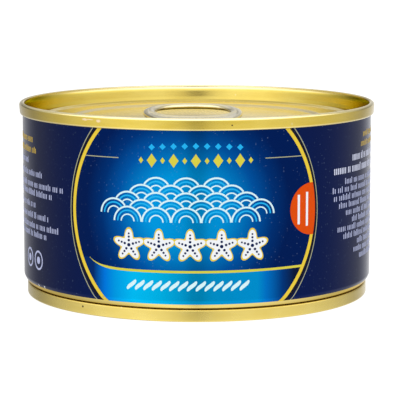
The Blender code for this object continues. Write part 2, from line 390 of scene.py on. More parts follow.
gold_lacquer = lacquered_metal("gold_lacquer", srgb(219, 194, 86), srgb(209, 181, 63), 0.22, 0.25,
                               crown=srgb(252, 240, 190),
                               scuffs=[((-25.35, -34.7, 45.45), (0.75, 1.0, 0.27)),
                                       ((-22.2, -36.8, 45.3), (0.6, 0.9, 0.34)),
                                       ((-24.2, -35.5, 45.52), (1.2, 1.3, 0.11))],
                               pinholes=[((7.9, -42.3, 44.9), (0.22, 0.3, 0.2))])
foot_lacquer = lacquered_metal("foot_lacquer", srgb(226, 204, 113), srgb(218, 193, 95), 0.28, 0.25,
                               pinholes=[((-26.3, -32.0, 1.85), (0.26, 0.3, 0.26))])
# The ring pull's underside colour is painted shade.
pale_lacquer = lacquered_metal("pale_lacquer", srgb(240, 228, 184), srgb(228, 212, 160), 0.24, 0.1,
                               underside_shade=srgb(150, 136, 84))
bare_tin = lacquered_metal("bare_tin", srgb(214, 200, 160), srgb(200, 182, 130), 0.34, 0.15)
print("metals:", gold_lacquer.name, foot_lacquer.name, pale_lacquer.name, bare_tin.name)

# %% [markdown]
# The lid is stamped in one piece. From the outside in, its profile goes up the double seam, over the
# crown, down the chuck wall to the countersink groove, up to the panel, over a bead and the score line
# that tears, and down a step to the flat where the ring pull is riveted. Turning that one profile makes
# all of it. The seam's outer wall leans in a little and its lower edge is rolled in, as rollers leave it.

# %% The lid
SEAM_HALF = 0.675
COUNTERSINK_DEPTH = 4.8
PANEL_DEPTH = 3.7
SCORE_RADIUS = 38.62
BEAD_RADIUS = 37.5
INNER_PANEL_RADIUS = 29.7
INNER_PANEL_STEP = 0.35


def bead(centre, half_width, base, height, steps=16):
    """A ring pressed up (or down) in a panel: height times (1 + cos) / 2 across its width."""
    offset = np.linspace(half_width, -half_width, steps + 1)
    return np.stack([centre + offset, base + height * (1 + np.cos(np.pi * offset / half_width)) / 2], 1)


def soft_step(centre, half_width, outer, inner, steps=10):
    """A step between two levels, following half a cosine wave from outside to inside."""
    share = np.linspace(0, 1, steps + 1)
    levels = outer + (inner - outer) * (1 - np.cos(np.pi * share)) / 2
    return np.stack([centre + half_width * (1 - 2 * share), levels], 1)


top = can_top
wall_foot = lid_seam_radius - 2 * SEAM_HALF - 0.48
panel = top - PANEL_DEPTH
inner_panel = panel - INNER_PANEL_STEP
plug_radius, plug_low = body_radius - 0.75, top - 5.3
wall_depths = [0.5, 0.7, 1.1, 1.5, 2.0, 2.9, 3.95]
wall_insets = [1.18, 1.27, 1.4, 1.48, 1.54, 1.65, 1.84]
depths = np.linspace(wall_depths[0], wall_depths[-1], 24)
chuck_wall = np.stack([lid_seam_radius - np.interp(depths, wall_depths, wall_insets), top - depths], 1)
lid_profile = joined(
    (0.0, plug_low),
    (plug_radius, plug_low),
    (plug_radius, top - SEAM_HEIGHT + 0.2),
    (body_radius + 0.03, top - SEAM_HEIGHT + 0.22),
    arc(lid_seam_radius - 0.72, top - SEAM_HEIGHT + 0.6, 0.6, -90, 0, 10),
    arc(lid_seam_radius - SEAM_HALF, top - SEAM_HALF, SEAM_HALF, 0, 140, 18),
    chuck_wall,
    arc(wall_foot - 0.85, top - COUNTERSINK_DEPTH + 0.85, 0.85, -12, -175, 16),
    (wall_foot - 1.76, panel - 0.25),
    (wall_foot - 1.82, panel - 0.06),
    (wall_foot - 1.96, panel),
    bead(SCORE_RADIUS, 0.14, panel, -0.09, 6),
    bead(BEAD_RADIUS, 1.05, panel, 0.45),
    (34.5, panel + 0.03),
    (32.0, panel),
    soft_step(INNER_PANEL_RADIUS, 1.0, panel, inner_panel),
    bead(24.0, 4.0, inner_panel, 0.05, 8),
    (0.0, inner_panel),
)
lid_end = turned("lid_end", lid_profile, gold_lacquer, turns=360)
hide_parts("lid")

# %% [markdown]
# The bottom end is the same double seam upside down, with a shallow panel and two beads that let it
# bulge while the can is cooked. Nobody sees it in the photograph, but a can is often turned over.

# %% The bottom end
foot_inside = foot_seam_radius - 2 * SEAM_HALF
foot_wall = foot_inside - 0.35
FOOT_PANEL = 2.8
FOOT_SEAM_TOP = 2.45
FOOT_PLUG_RADIUS, FOOT_PLUG_TOP = 39.95, 4.8
foot_profile = joined(
    (0.0, FOOT_PANEL),
    bead(20.0, 5.0, FOOT_PANEL, 0.12, 10)[::-1],
    bead(33.0, 0.9, FOOT_PANEL, -0.45)[::-1],
    bead(36.0, 0.8, FOOT_PANEL, -0.3)[::-1],
    (foot_wall - 1.75, FOOT_PANEL),
    arc(foot_wall - 0.65, 4.0 - 0.65, 0.65, 180, 0, 16),
    arc(foot_inside + 0.45, 0.45, 0.45, 180, 270, 8),
    arc(foot_seam_radius - 0.45, 0.45, 0.45, -90, 0, 8),
    arc(foot_seam_radius - 0.42, 2.47, 0.4, 0, 90, 8),
    arc(foot_seam_radius - 0.62, 2.67, 0.2, 90, 180, 4),
    (foot_seam_radius - 0.85, FOOT_SEAM_TOP),
    (FOOT_PLUG_RADIUS, FOOT_SEAM_TOP),
    (FOOT_PLUG_RADIUS, FOOT_PLUG_TOP),
    (0.0, FOOT_PLUG_TOP),
)
foot_end = turned("foot_end", foot_profile, foot_lacquer, turns=360)
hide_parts("bottom_end")

# %% [markdown]
# The body wall is straight down to five millimetres above the table, and then necks in, so that it
# drops into the lid of the can below. The neck is a smooth curve, not a cone: its radius falls with
# the 1.5th power of the distance below the bend. The print runs down over it and stops short of the
# seam, where a strip of lacquered metal shows.

# %% The body wall and its label colours
NECK_TOP = 5.05
NECK_SLOT = 3.2
PRINT_BOTTOM = 4.17
PRINT_TOP = 44.2
GLOW_MIDDLE = (-2.4, 25.7)
GLOW_REACH = 24.5


def wall_radius(z):
    """The wall's radius at a height, in mm: the body's, less 0.38 (5.05 - z)^1.5 in the neck."""
    return body_radius - 0.38 * np.clip(NECK_TOP - z, 0, None) ** 1.5


PANEL_CENTRE = -0.87
PANEL_HALF_WIDTH = 29.72
PANEL_MIDDLE = 24.6
PANEL_HALF_HEIGHT = 28.6
NAVY = srgb(11, 26, 73)
WELD_HALF_WIDTH = 2.2
VARNISH_GLOSS = 0.05
INK_SHEEN = 0.85
STRIP_EDGE_TINT = srgb(240, 224, 188)
BARE_STRIP = srgb(218, 196, 116)
# A dark colour painted into the foot slot as shade.
SLOT_PAINTED_SHADE = srgb(118, 88, 22)


def make_label_field():
    """Colour of the print's ground: navy, with a lit blue oval inside the gold frame's ellipse."""
    group, given, result = new_group("label_field", [], [("Color", "Color")])
    angle, radius, z = wall_coordinates(group)
    along, high = times(group, angle, body_radius), times(group, z, 1 / MM)

    def oval(centre_u, centre_z, half_u, half_z):
        """Distance from a middle as a share of an ellipse's reach: sqrt((u / half u)^2 + (z / half z)^2)."""
        over = maths(group, "DIVIDE", minus(group, along, centre_u), half_u)
        up = maths(group, "DIVIDE", minus(group, high, centre_z), half_z)
        return maths(group, "SQRT", plus(group, times(group, over, over), times(group, up, up)))

    edge = oval(PANEL_CENTRE, PANEL_MIDDLE, PANEL_HALF_WIDTH, PANEL_HALF_HEIGHT)
    light = ramp(group, oval(*GLOW_MIDDLE, GLOW_REACH, GLOW_REACH),
                 [(0.0, srgb(0, 142, 208)), (0.34, srgb(0, 138, 204)), (0.5, srgb(0, 110, 178)),
                  (0.66, srgb(0, 74, 146)), (0.83, srgb(0, 44, 106)), (1.0, srgb(2, 27, 80))])
    fill(result, {"Color": blend(group, maths(group, "LESS_THAN", edge, 1.0), NAVY, light)})
    return group


label_field = make_label_field()


def make_print_wall():
    """The lithographed wall: label colours, bare lacquered sheet at its foot and beside the weld, and a dark
    painted shade in the slot under the foot seam.
    """
    made, tree, shader = new_finish("blue_print")
    place = node(tree, "TexCoord").outputs["Object"]
    angle, radius, z = wall_coordinates(tree)
    label = node(tree, "Group", node_tree=label_field).outputs["Color"]
    colour = dusted(tree, label, srgb(150, 175, 205), 0.3, 2200.0, 0.25, 0.25)
    weld_edge = math.pi - WELD_HALF_WIDTH / body_radius
    back = maths(tree, "GREATER_THAN", maths(tree, "ABSOLUTE", angle), weld_edge)
    printed = maths(tree, "GREATER_THAN", z, PRINT_BOTTOM * MM)
    printed = times(tree, printed, minus(tree, 1.0, back))
    colour = blend(tree, printed, BARE_STRIP, colour)
    # Painted shade: the wall inside the slot under the foot seam is coloured dark, so the groove reads dark.
    in_slot = maths(tree, "LESS_THAN", radius, (wall_radius(NECK_SLOT) - 0.25) * MM)
    grain = noise(tree, place, 1800.0, 2.0)
    bump = node(tree, "Bump", {"Strength": 0.06, "Distance": 0.00003, "Height": grain})
    fill(shader, {
        "Base Color": blend(tree, in_slot, colour, SLOT_PAINTED_SHADE),
        "Metallic": minus(tree, 1.0, times(tree, printed, 1 - INK_SHEEN)),
        "Roughness": plus(tree, 0.12, times(tree, noise(tree, place, 90.0, 4.0), 0.1)),
        "Specular IOR Level": VARNISH_GLOSS,
        "Specular Tint": blend(tree, printed, STRIP_EDGE_TINT, WHITE),
        "Normal": bump.outputs[0],
    })
    return made


blue_print = make_print_wall()
wall_heights = np.concatenate([np.linspace(NECK_SLOT, 5.2, 25), np.linspace(5.6, 43.0, 24), [43.6, 44.0]])
WALL_PLUG_RADIUS, WALL_PLUG_LOW, WALL_PLUG_HIGH = 40.3, 4.6, 41.5
wall_profile = joined(
    (0.0, WALL_PLUG_LOW),
    (WALL_PLUG_RADIUS, WALL_PLUG_LOW),
    (WALL_PLUG_RADIUS, 2.9),
    (40.5, NECK_SLOT + 0.12),
    (wall_radius(NECK_SLOT) - 0.2, NECK_SLOT - 0.04),
    np.stack([wall_radius(wall_heights), wall_heights], 1),
    (41.6, 44.0),
    (41.35, WALL_PLUG_HIGH),
    (0.0, WALL_PLUG_HIGH),
)
wall = turned("printed_wall", wall_profile, blue_print, turns=360)
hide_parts("can_body")

# %% [markdown]
# The print's crisp shapes are thin closed layers of ink, a few hundredths of a millimetre proud of the
# wall, one piece for each colour. Each shape is drawn flat, in millimetres along the wall and up it, and
# then wrapped: the distance along becomes an angle, and the height picks the wall's radius. A line is a
# ribbon swept along a path, and a filled shape is its outline shrunk in rings to its middle.

# %% Ink layers
def wrapped(flat, lift):
    """Flat label points (along, up) to 3-D: angle = along / body radius, at wall radius + lift."""
    angle = flat[..., 0] / body_radius
    radius = wall_radius(flat[..., 1]) + lift
    return np.stack([radius * np.sin(angle), -radius * np.cos(angle), flat[..., 1]], -1)


def ribbon(path, width, lift, root=-0.04, lowest=0.0):
    """A closed strip along flat path points: a box section, from root to lift, width wide (may vary).
    No point of it goes below the height lowest."""
    path = np.asarray(path, float)
    step = np.gradient(path, axis=0)
    normal = np.stack([-step[:, 1], step[:, 0]], 1) / np.linalg.norm(step, axis=1)[:, None]
    half = np.broadcast_to(np.asarray(width, float) / 2, len(path))[:, None]
    left, right = path + normal * half, path - normal * half
    left[:, 1], right[:, 1] = np.maximum(left[:, 1], lowest), np.maximum(right[:, 1], lowest)
    ring = np.stack([wrapped(left, root), wrapped(left, lift), wrapped(right, lift), wrapped(right, root)], 1)
    faces = grid_faces(len(path), 4, wrap_columns=True)
    caps = np.array([[3, 2, 1, 0], [0, 1, 2, 3]]) + np.array([[0], [4 * (len(path) - 1)]])
    return ring.reshape(-1, 3), np.concatenate([faces, caps])


def straight(start, end, width, lift, count=12):
    """A ribbon along the straight line between two flat points."""
    return ribbon(np.linspace(start, end, count), width, lift)


def filled(outline, lift, rings=3, root=-0.04, middle=None):
    """A closed plate from a flat outline: its points shrunk towards the middle in rings, top and root."""
    middle = outline.mean(0) if middle is None else np.array(middle)
    shares = np.linspace(0, 1, rings + 1)[:, None, None]
    spread = middle + (outline - middle)[None] * shares
    top_side = wrapped(spread, lift)
    under_side = wrapped(spread[::-1], root)
    points = np.concatenate([top_side, under_side])
    faces = grid_faces(2 * (rings + 1), len(outline), wrap_columns=True)
    return points.reshape(-1, 3), faces


def collected(name, shapes, finish):
    """Many small closed shapes of one ink, made one piece."""
    starts = np.cumsum([0] + [len(points) for points, faces in shapes[:-1]])
    points = np.concatenate([points for points, faces in shapes])
    faces = np.concatenate([faces + start for (_, faces), start in zip(shapes, starts)])
    piece = mesh_object(name, points, faces, finish)


def ink(name, colour, second=None, metallic=0.0):
    """An ink under the same varnish as the wall, a little uneven, with fine dust on it."""
    made, tree, shader = new_finish(name)
    uneven = noise(tree, node(tree, "TexCoord").outputs["Object"], 420.0, 3.0)
    body = blend(tree, uneven, colour, second or tuple(c * 0.88 for c in colour))
    fill(shader, {
        "Base Color": dusted(tree, body, srgb(240, 240, 235), 0.15, 1500.0, 0.1, 0.2),
        "Roughness": plus(tree, 0.16, times(tree, uneven, 0.1)),
        "Metallic": metallic,
        "Specular IOR Level": VARNISH_GLOSS,
    })
    return made


print("wall radius at the print's lower edge", round(float(wall_radius(PRINT_BOTTOM)), 2), "mm")

# %% [markdown]
# The frame of the main panel is one big ellipse that the seam and the neck cut off: a thick yellow line,
# a narrow black one outside it and a thin gold one outside that.

# %% The panel's frame lines
SIDES = (-1, 1)
FRAME_FOOT = PRINT_BOTTOM - 0.5
FRAME_BEND = FRAME_FOOT + 1.8
RULE_HEIGHT = 37.2


def panel_edge(z, side, grow_u=0.0, grow_z=0.0, shift_z=0.0):
    """Where the frame's ellipse is at a height: u = centre + side W sqrt(1 - ((z - middle) / H)^2). It can
    be grown and shifted."""
    up = (z - PANEL_MIDDLE - shift_z) / (PANEL_HALF_HEIGHT + grow_z)
    return PANEL_CENTRE + side * (PANEL_HALF_WIDTH + grow_u) * np.sqrt(1 - up ** 2)


def frame_line(grow_u, grow_z, shift_z, width, lift):
    """Both sides of one line of the frame, with closer points where it runs over the neck."""
    z = np.concatenate([np.linspace(FRAME_FOOT, FRAME_BEND, 24)[:-1], np.linspace(FRAME_BEND, PRINT_TOP, 72)])
    paths = [np.stack([panel_edge(z, side, grow_u, grow_z, shift_z), z], 1) for side in SIDES]
    return [ribbon(path, width, lift, lowest=PRINT_BOTTOM) for path in paths]


yellow_shapes = frame_line(0, 0, 0, 0.86, 0.05)
black_shapes = frame_line(0.7, 1.0, -0.15, 0.75, 0.02)
gold_shapes = frame_line(1.16, 2.2, -0.3, 0.19, 0.04)
for side, inner in zip(SIDES, (-18.2, 15.8)):
    outer = (panel_edge(RULE_HEIGHT, side), RULE_HEIGHT)
    gold_shapes.append(straight(outer, (inner, RULE_HEIGHT), 0.19, 0.03))
print("frame lines", len(yellow_shapes + black_shapes + gold_shapes))

# %% [markdown]
# Below a lemon-yellow rule that sweeps up to a point at its left end lies a lit blue band. Its colour goes
# from mid blue to a bright cyan and falls to navy at the right, so its material is a ramp over the angle.

# %% The lower band
BAND_LEFT = -26.1
BAND_HEIGHT = 11.68


def band_rule_height(u):
    """The rule's height: nearly level, rising slowly to the right and steeply at the left tip."""
    return BAND_HEIGHT + 0.0002 * np.clip(u + 6, 0, None) ** 2 + 2.25 * np.exp((BAND_LEFT - u) / 2.6)


rule_u = np.concatenate([np.linspace(BAND_LEFT, -18, 24), np.linspace(-17.5, panel_edge(12.1, 1), 40)])
rule_path = np.stack([rule_u, band_rule_height(rule_u)], 1)
rule_width = np.clip((rule_u - BAND_LEFT + 0.3) / 5.0, 0.12, 1.0) * 0.55
lemon_shapes = [ribbon(rule_path, rule_width, 0.045)]


def band_plate():
    """The field under the rule: across from the frame's left side to its right, up from the print's edge.
    Its width depends on the height and its height on the place across, so three rounds settle them."""
    across = np.linspace(0, 1, 60)[:, None]
    share = np.concatenate([np.linspace(0, 0.15, 16)[:-1], np.linspace(0.15, 1, 12)])[None]
    z = PRINT_BOTTOM + share * (11.9 - PRINT_BOTTOM) + 0 * across
    for again in range(3):
        left, right = panel_edge(z, -1), panel_edge(z, 1)
        u = left + (right - left) * across
        z = PRINT_BOTTOM + share * (band_rule_height(np.clip(u, BAND_LEFT, None)) - PRINT_BOTTOM)
    top_side = wrapped(np.stack([u, z], -1), 0.015)
    under_side = wrapped(np.stack([u, z], -1), -0.04)
    count = top_side.shape[0] * top_side.shape[1]
    quads = grid_faces(*top_side.shape[:2])
    index = np.arange(count).reshape(top_side.shape[:2])
    rim = np.concatenate([index[:-1, 0], index[-1, :-1], index[:0:-1, -1], index[0, :0:-1]])
    after = np.roll(rim, -1)
    walls = np.stack([rim, after, after + count, rim + count], 1)
    faces = np.concatenate([quads[:, ::-1], quads + count, walls])
    return np.concatenate([top_side.reshape(-1, 3), under_side.reshape(-1, 3)]), faces


def make_band_ink():
    """Bright cyan left of the middle, falling to navy at the right end of the band."""
    made = ink("band_ink", srgb(0, 150, 210), metallic=INK_SHEEN)
    tree = made.node_tree
    angle, radius, z = wall_coordinates(tree)
    along = maths(tree, "DIVIDE", plus(tree, times(tree, angle, body_radius), 25.0), 52.0)
    light = ramp(tree, along, [
        (0.0, srgb(4, 40, 100)), (0.06, srgb(0, 108, 204)), (0.11, srgb(0, 138, 206)),
        (0.2, srgb(0, 166, 216)), (0.31, srgb(0, 160, 208)), (0.44, srgb(0, 144, 196)),
        (0.62, srgb(0, 132, 188)), (0.75, srgb(0, 131, 190)), (0.79, srgb(0, 104, 182)),
        (0.87, srgb(2, 50, 114)), (0.93, srgb(10, 22, 52)),
    ])
    fill(tree.nodes["Principled BSDF"], {"Base Color": light})
    return made


collected("band_print", [band_plate()], make_band_ink())

# %% [markdown]
# The panel is filled with plain sea motifs in the print's own colours: rows of overlapping wave arcs,
# which are an old and common pattern, a row of lozenges, five starfish and a rope. Each motif is a formula
# or a loop, so that a reader can change how many there are, and how big.

# %% Wave arcs
WAVE_RADIUS = 3.4
WAVE_MIDDLE, WAVE_FOOT = -2.4, 22.9
wave_counts = (5, 6, 5, 4, 3)
wave_centres = [(WAVE_MIDDLE + (place - (count - 1) / 2) * 2 * WAVE_RADIUS, WAVE_FOOT + row * WAVE_RADIUS / 2)
                for row, count in enumerate(wave_counts) for place in range(count)]
wave_shapes = []
cyan_shapes = []


def shown_arc(centre, radius):
    """The longest run of a half circle that no wave in a lower row covers, as flat points."""
    path = arc(*centre, radius, 0, 180, 60)
    lower = np.array([c for c in wave_centres if c[1] < centre[1] - 0.1]).reshape(-1, 2)
    far = np.linalg.norm(path[:, None] - lower[None], axis=2)
    open_to_view = (far > WAVE_RADIUS).all(1)
    runs = np.split(np.arange(len(path)), np.flatnonzero(np.diff(open_to_view.astype(int))) + 1)
    longest = max((run for run in runs if open_to_view[run[0]]), key=len)
    return path[longest]


wave_lines = ((0.97, 0.4, wave_shapes), (0.72, 0.34, cyan_shapes), (0.46, 0.3, wave_shapes))
for centre in wave_centres:
    for share, width, shapes in wave_lines:
        shapes.append(ribbon(shown_arc(centre, WAVE_RADIUS * share), width, 0.04))
print("wave arcs", len(wave_shapes))

# %% [markdown]
# The small motifs are filled outlines with few points. A starfish's five arms are one cosine wave round
# its middle, and its dots are a loop over the arms. A rope is the same slanted strand again and again.

# %% Lozenges, starfish and rope
def superellipse(turn, power):
    """The cosine and sine of an angle, each raised to a power with its sign kept."""
    return (np.sign(wave) * np.abs(wave) ** power for wave in (np.cos(turn), np.sin(turn)))


def lozenge(centre_u, centre_z, half_u, half_z, lift, count=8):
    """A diamond whose sides bow in slightly: |u|^0.95 + |z|^0.95 = 1 through count points a side."""
    u, z = superellipse(np.linspace(0, 2 * np.pi, 4 * count, endpoint=False), 2 / 0.95)
    return filled(np.stack([centre_u + half_u * u, centre_z + half_z * z], 1), lift)


LOZENGE_PITCH, LOZENGE_MIDDLE = 2.5, -0.2
for place in range(-5, 6):
    half_u, half_z = (1.15, 1.6) if place % 2 == 0 else (0.55, 0.75)
    lemon_shapes.append(lozenge(LOZENGE_PITCH * place + LOZENGE_MIDDLE, 36.9, half_u, half_z, 0.035))
for place in range(-4, 5):
    height = 40.2 - 0.02 * place ** 2
    cyan_shapes.append(lozenge(LOZENGE_PITCH * place + LOZENGE_MIDDLE, height, 0.75, 0.75, 0.035))


STAR_MIDDLE = -1.5
STAR_PITCH = 7.1
STAR_HEIGHT = 17.5
STAR_RADIUS = 2.7


def star_outline(centre_u, grow=0.0, count=100):
    """A starfish with blunt arms: radius R (1 + 0.34 cos 5a) + grow, with the angle a from straight up."""
    turn = np.linspace(0, 2 * np.pi, count, endpoint=False)
    radius = STAR_RADIUS * (1 + 0.34 * np.cos(5 * turn)) + grow
    return np.stack([centre_u + radius * np.sin(turn), STAR_HEIGHT + radius * np.cos(turn)], 1)


def disc(centre_u, centre_z, radius, lift, count=14):
    """A round dot."""
    return filled(arc(centre_u, centre_z, radius, 0, 360, count)[:-1], lift, rings=1)


navy_shapes = []
star_shapes = []
for place in range(5):
    centre = STAR_MIDDLE + (place - 2) * STAR_PITCH
    middle = (centre, STAR_HEIGHT)
    yellow_shapes.append(filled(star_outline(centre, 0.4), 0.05, middle=middle))
    star_shapes.append(filled(star_outline(centre), 0.07, middle=middle))
    navy_shapes.append(disc(*middle, 0.4, 0.085))
    for arm in np.radians(72 * np.arange(5)):
        for reach, radius in ((1.05, 0.3), (1.85, 0.26), (2.6, 0.22)):
            u, z = centre + reach * math.sin(arm), STAR_HEIGHT + reach * math.cos(arm)
            navy_shapes.append(disc(u, z, radius, 0.085))

ROPE_MIDDLE, ROPE_HEIGHT = -2.1, 8.45
ROPE_PITCH, ROPE_HALF = 2.0, 1.15
rope_shapes = []
for place in range(14):
    share = np.linspace(-1, 1, 13)
    u = ROPE_MIDDLE + (place - 6.5) * ROPE_PITCH + ROPE_HALF * np.tanh(share * 1.4)
    path = np.stack([u, ROPE_HEIGHT + ROPE_HALF * share], 1)
    rope_shapes.append(ribbon(path, 0.75 * np.sqrt(1.02 - share ** 2) + 0.1, 0.04))
print("starfish", len(star_shapes), "dots", len(navy_shapes), "rope strands", len(rope_shapes))

# %% [markdown]
# At the right the frame line cuts a round orange seal. It holds two plain white bars.

# %% The orange seal
SEAL_MIDDLE = (28.2, 24.9)
SEAL_RADIUS = 6.0


def seal_outline(count=48):
    """The part of a circle left of the frame's black line: circle points, then back along the ellipse."""
    z = SEAL_MIDDLE[1] + SEAL_RADIUS * np.sin(np.linspace(-np.pi / 2, np.pi / 2, count))
    left = SEAL_MIDDLE[0] - np.sqrt(np.clip(SEAL_RADIUS ** 2 - (z - SEAL_MIDDLE[1]) ** 2, 0, None))
    right = panel_edge(z, 1) + 0.44
    left = np.minimum(left, right)
    return np.concatenate([np.stack([left, z], 1), np.stack([right, z], 1)[::-1][1:-1]])


seal_plate = filled(seal_outline(), 0.065, middle=(26.0, SEAL_MIDDLE[1]))
collected("orange_seal", [seal_plate], ink("orange_ink", srgb(207, 71, 3)))
for u, half in ((24.5, 3.4), (26.85, 3.9)):
    ends = ((u, SEAL_MIDDLE[1] - half), (u, SEAL_MIDDLE[1] + half))
    star_shapes.append(straight(*ends, 0.62, 0.085))

# %% [markdown]
# The sides are read as rows of grey texture from a step away. They are short upright strokes in groups of
# uneven length, centred as a layout draft would have them. They are marks, not letters: every stroke is
# the same box, and one in five is taller. The draw is seeded.

# %% Small print as rows of strokes
draw = np.random.default_rng(7)
STROKE_PITCH, STROKE_WIDTH, WORD_GAP = 0.74, 0.31, 0.6


def stroke_rows(centre, rows, weight=1.0):
    """Centred rows of strokes in groups; each row is (middle height, half width, stroke height)."""
    shapes = []
    for z, half, height in rows:
        u = centre - half
        while u < centre + half:
            for stroke in range(draw.integers(2, 9)):
                tall = height * (1.3 if draw.random() < 0.2 else 1.0)
                if u < centre + half:
                    path = [(u, z - height / 2), (u, z - height / 2 + tall)]
                    shapes.append(ribbon(path, STROKE_WIDTH * weight, 0.03))
                u += STROKE_PITCH
            u += WORD_GAP
    return shapes


pale_shapes = []
LEFT_CENTRE, RIGHT_CENTRE = -56.0, 58.5
small_yellow = stroke_rows(LEFT_CENTRE, [(38.8, 7.5, 1.2), (36.3, 9.7, 1.2)], 0.8)
left_rows = ((33.6, 4.5), (30.8, 13.5), (28.2, 21.2), (26.2, 17.0),
             (23.4, 8.5), (20.8, 15.5), (18.4, 19.5), (16.4, 15.0))
pale_shapes += stroke_rows(LEFT_CENTRE, [(z, half, 1.15) for z, half in left_rows])
small_yellow += stroke_rows(RIGHT_CENTRE, [(40.0, 8.0, 1.1), (37.8, 9.5, 1.1)], 0.8)
bold_shapes = stroke_rows(RIGHT_CENTRE, [(35.1, 14.5, 1.4), (32.5, 22.5, 1.4)], 1.2)
right_widths = (18.0, 23.0, 22.5, 20.5, 17.5, 14.5, 21.0, 18.5, 11.5, 13.5, 10.0)
right_rows = [(29.8 - 1.84 * row, half, 1.1) for row, half in enumerate(right_widths)]
pale_shapes += stroke_rows(RIGHT_CENTRE, right_rows)


def round_mark(centre_u, centre_z, radius):
    """A ring with a dot in it."""
    ring = ribbon(arc(centre_u, centre_z, radius, 0, 360, 40), 0.45, 0.03)
    return [ring, disc(centre_u, centre_z, radius * 0.42, 0.03, count=20)]


for u in (-51.6, -45.8):
    pale_shapes += round_mark(u, 10.5, 2.1)
for u, z, half in ((-46.0, 4.5, 0.3), (-42.9, 4.55, 0.36)):
    star_shapes.append(lozenge(u, z, 0.22, half, 0.03))
print("pale strokes and marks", len(pale_shapes))

# %% [markdown]
# The back of the can carries the weld. The sheet is left unprinted there, and the two columns of small
# print beside it are finished like the ones that show.

# %% Back of the print
BACK_CENTRE, BACK_HALF_WIDTH = 105.0, 20.5
BACK_LOW, BACK_HIGH = 7.0, 42.0
for side in SIDES:
    centre = side * BACK_CENTRE
    widths = draw.uniform(9.0, 17.0, 12)
    pale_shapes += stroke_rows(centre, [(38.5 - 2.2 * row, half, 1.1) for row, half in enumerate(widths)])
    left, right = centre - BACK_HALF_WIDTH, centre + BACK_HALF_WIDTH
    for u in (left, right):
        gold_shapes.append(straight((u, BACK_LOW), (u, BACK_HIGH), 0.28, 0.03, count=20))
    for z in (BACK_LOW, BACK_HIGH):
        gold_shapes.append(straight((left, z), (right, z), 0.28, 0.03, count=30))
weld_u = math.pi * body_radius
collected("weld_seam", [straight((weld_u, 3.4), (weld_u, 44.0), 0.7, 0.06, count=60)], bare_tin)

print_layers = (
    ("yellow_print", yellow_shapes, "yellow_ink", srgb(216, 188, 58)),
    ("lemon_print", lemon_shapes, "lemon_ink", srgb(200, 191, 64)),
    ("gold_print", gold_shapes, "fine_gold_ink", srgb(164, 165, 130)),
    ("black_print", black_shapes, "black_ink", srgb(14, 16, 34)),
    ("wave_print", wave_shapes + rope_shapes, "white_ink", srgb(199, 223, 226), srgb(191, 217, 222)),
    ("small_print", pale_shapes, "pale_ink", srgb(170, 176, 208)),
    ("bold_print", bold_shapes, "bold_ink", srgb(200, 204, 224)),
    ("small_yellow_print", small_yellow, "soft_yellow_ink", srgb(206, 174, 74)),
    ("star_print", star_shapes, "star_ink", srgb(220, 223, 226), srgb(214, 218, 222)),
    ("star_dots", navy_shapes, "navy_ink", NAVY),
    ("cyan_print", cyan_shapes, "cyan_ink", srgb(30, 165, 222)),
)
for name, shapes, ink_name, *colours in print_layers:
    collected(name, shapes, ink(ink_name, *colours))

# %% [markdown]
# The ring pull is a strip of steel with its edge curled under all round, so it reads as a smooth bead
# with a thin web between ring and nose. Its section runs from the finger hole to the outline: a round
# bead, the web, and a round bead again. Where the ring is narrow the two beads are one.

# %% The ring pull
RIVET_Y = -27.5
TAB_SWIVEL = math.radians(2.5)
RING_CENTRE_Y, RING_RADIUS, RING_REACH = -5.2, 11.95, 13.7
HOLE_HALF_WIDTH, HOLE_FRONT_Y, HOLE_BACK_Y = 9.05, -15.9, 5.9
NOSE_Y, NOSE_HALF_WIDTH = -35.6, 7.6
TAB_HEIGHT, WEB_LOW, WEB_HIGH = 1.4, 0.55, 1.1
CURL_RADIUS = 1.2
RING_RAISE = 0.6
tab_bottom = inner_panel + 0.6


def smooth(share):
    """0 below 0, 1 above 1, and 3 t^2 - 2 t^3 between."""
    share = np.clip(share, 0, 1)
    return share ** 2 * (3 - 2 * share)


def tab_outline(turn):
    """Half an ellipse about the ring's middle, and a side that narrows smoothly and ends in a blunt nose."""
    x, y = np.sin(turn), np.cos(turn)
    along = np.clip(-y, 0, None) ** 0.85
    narrowing = 1 - (1 - NOSE_HALF_WIDTH / RING_RADIUS) * smooth(1.15 * along)
    width = RING_RADIUS * narrowing * np.sqrt(np.clip(1 - along ** 5, 0, 1))
    u = np.where(y >= 0, RING_RADIUS * x, np.sign(x) * width)
    v = RING_CENTRE_Y + np.where(y >= 0, RING_REACH * y, -(RING_CENTRE_Y - NOSE_Y) * along)
    return np.stack([u, v], -1)


def tab_hole(turn):
    """The finger hole: a superellipse, |u|^2.35 + |v|^2.35 = 1, stretched to its sizes."""
    v, u = superellipse(turn, 0.85)
    middle, half = (HOLE_FRONT_Y + HOLE_BACK_Y) / 2, (HOLE_BACK_Y - HOLE_FRONT_Y) / 2
    return np.stack([HOLE_HALF_WIDTH * u, middle + half * v], -1)


def ring_raise(y):
    """The ring end is bent up a little: a smooth rise from the hole's front to the ring's end."""
    return RING_RAISE * smooth((y - HOLE_FRONT_Y) / (RING_CENTRE_Y + RING_REACH - HOLE_FRONT_Y))


